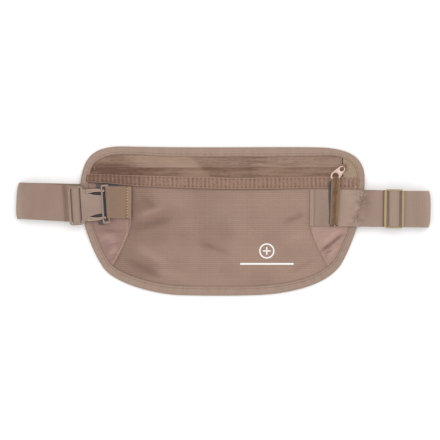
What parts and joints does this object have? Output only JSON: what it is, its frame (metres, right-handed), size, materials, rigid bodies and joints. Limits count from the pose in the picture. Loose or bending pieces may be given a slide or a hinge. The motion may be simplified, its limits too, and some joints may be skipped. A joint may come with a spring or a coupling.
{
  "type": "money belt",
  "caption": "Flat zipped waist pouch with an elastic webbing strap, a side-release buckle and a sliding strap adjuster, laid flat",
  "frame": {"origin": "on the resting surface, under the middle of the belt's box", "axes": "+X along the belt from the buckle side to the adjuster side, +Y towards the zip edge of the pouch, +Z away from the wearer, up from the resting surface"},
  "size_m": [0.4234, 0.1528, 0.0152],
  "materials": {
    "ripstop": "fine ripstop weave, slight sheen",
    "backing": "soft matt knit",
    "lining": "thin plain weave",
    "binding": "ribbed folded tape",
    "satin": "smooth satin",
    "zip_tape": "fine herringbone tape",
    "zip_coil": "moulded coil",
    "metal": "plated, warm champagne, glossy",
    "ribbon": "ribbed ribbon",
    "webbing": "fine ribbed elastic",
    "plastic": "moulded, satin"
  },
  "bodies": {
    "pouch": {"back_panel": "backing", "inner_lining": "lining", "front_panel": "ripstop", "hem_band": "ripstop", "edge_binding": "binding", "left_wing": "satin", "right_wing": "satin", "upper_zip_tape": "zip_tape", "lower_zip_tape": "zip_tape", "zip_end_tab": "zip_tape", "upper_zip_coil": "zip_coil", "lower_zip_coil": "zip_coil", "zip_open_stop": "zip_coil", "elastic_strap": "webbing", "elastic_strap_return": "webbing", "tab_webbing": "webbing", "buckle_receiver": "plastic"},
    "slider": {"zip_slider": "metal"},
    "puller": {"zip_puller": "metal"},
    "ribbon": {"pull_ribbon": "ribbon"},
    "plate": {"buckle_plate": "plastic", "buckle_webbing_loop": "webbing"},
    "upper_arm": {"latch_arm_upper": "plastic"},
    "lower_arm": {"latch_arm_lower": "plastic"},
    "adjuster": {"triglide": "plastic", "triglide_webbing_loop": "webbing"}
  },
  "joints": [
    {"name": "zip_slide", "type": "slide", "parent": "pouch", "child": "slider", "axis": [-1, 0, 0], "range_m": [0, 0.247]},
    {"name": "puller_lift", "type": "hinge", "parent": "slider", "child": "puller", "pos_m": [0.1225, 0.0547, 0.0103], "axis": [-0.7385, 0.6743, 0], "range_deg": [0, 100]},
    {"name": "ribbon_lift", "type": "hinge", "parent": "puller", "child": "ribbon", "pos_m": [0.1142, 0.0415, 0.0103], "axis": [-0.9993, 0.0383, 0], "range_deg": [0, 75]},
    {"name": "buckle_release", "type": "slide", "parent": "pouch", "child": "plate", "axis": [-0.9981, -0.0611, 0], "range_m": [0, 0.009]},
    {"name": "upper_arm_squeeze", "type": "hinge", "parent": "plate", "child": "upper_arm", "pos_m": [-0.13893, 0.02989, 0.0127], "axis": [0, 0, -1], "range_deg": [0, 13.3]},
    {"name": "lower_arm_squeeze", "type": "hinge", "parent": "plate", "child": "lower_arm", "pos_m": [-0.13722, 0.00194, 0.0127], "axis": [0, 0, 1], "range_deg": [0, 13.3]},
    {"name": "adjuster_slide", "type": "slide", "parent": "pouch", "child": "adjuster", "axis": [0.9999, -0.0128, 0], "range_m": [-0.015, 0.018]}
  ],
  "couplings": [
    {"joint": "ribbon_lift", "follows": "zip_slide", "rad_per_m": 5.29},
    {"joint": "upper_arm_squeeze", "follows": "buckle_release", "rad_per_m": 25.7},
    {"joint": "lower_arm_squeeze", "follows": "buckle_release", "rad_per_m": 25.7}
  ]
}
